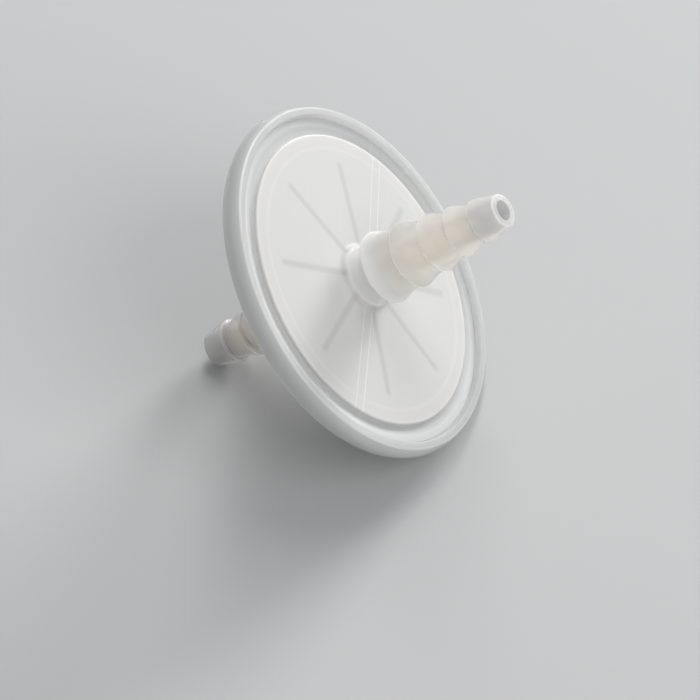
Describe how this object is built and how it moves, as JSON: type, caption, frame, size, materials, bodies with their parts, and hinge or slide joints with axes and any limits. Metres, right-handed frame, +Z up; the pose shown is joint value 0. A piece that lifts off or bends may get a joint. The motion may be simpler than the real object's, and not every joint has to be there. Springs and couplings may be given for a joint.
{
  "type": "in-line disc filter",
  "caption": "Translucent disc filter for tubing: two shells clamp a membrane inside a moulded rim ring, with a stepped hose barb on each face.",
  "frame": {"origin": "on the surface it lies on, straight below the middle of the disc, as the filter rests on the edge of its rim and the end of its outlet barb", "axes": "+Z up; +X level, towards the raised inlet barb's side; +Y across the disc, level; the filter's own axis lies in the XZ plane, 42.3 degrees above level"},
  "size_m": [0.053, 0.064, 0.049],
  "materials": {
    "inlet_shell": "natural translucent polypropylene, satin",
    "outlet_shell": "natural translucent polypropylene, satin",
    "rim": "natural translucent polypropylene, smooth",
    "membrane": "white microporous membrane, matt",
    "backing": "white nonwoven cloth"
  },
  "bodies": {
    "root": {"inlet_housing": "inlet_shell", "outlet_housing": "outlet_shell", "rim_ring": "rim", "filter_membrane": "membrane", "membrane_backing": "backing"}
  },
  "joints": []
}
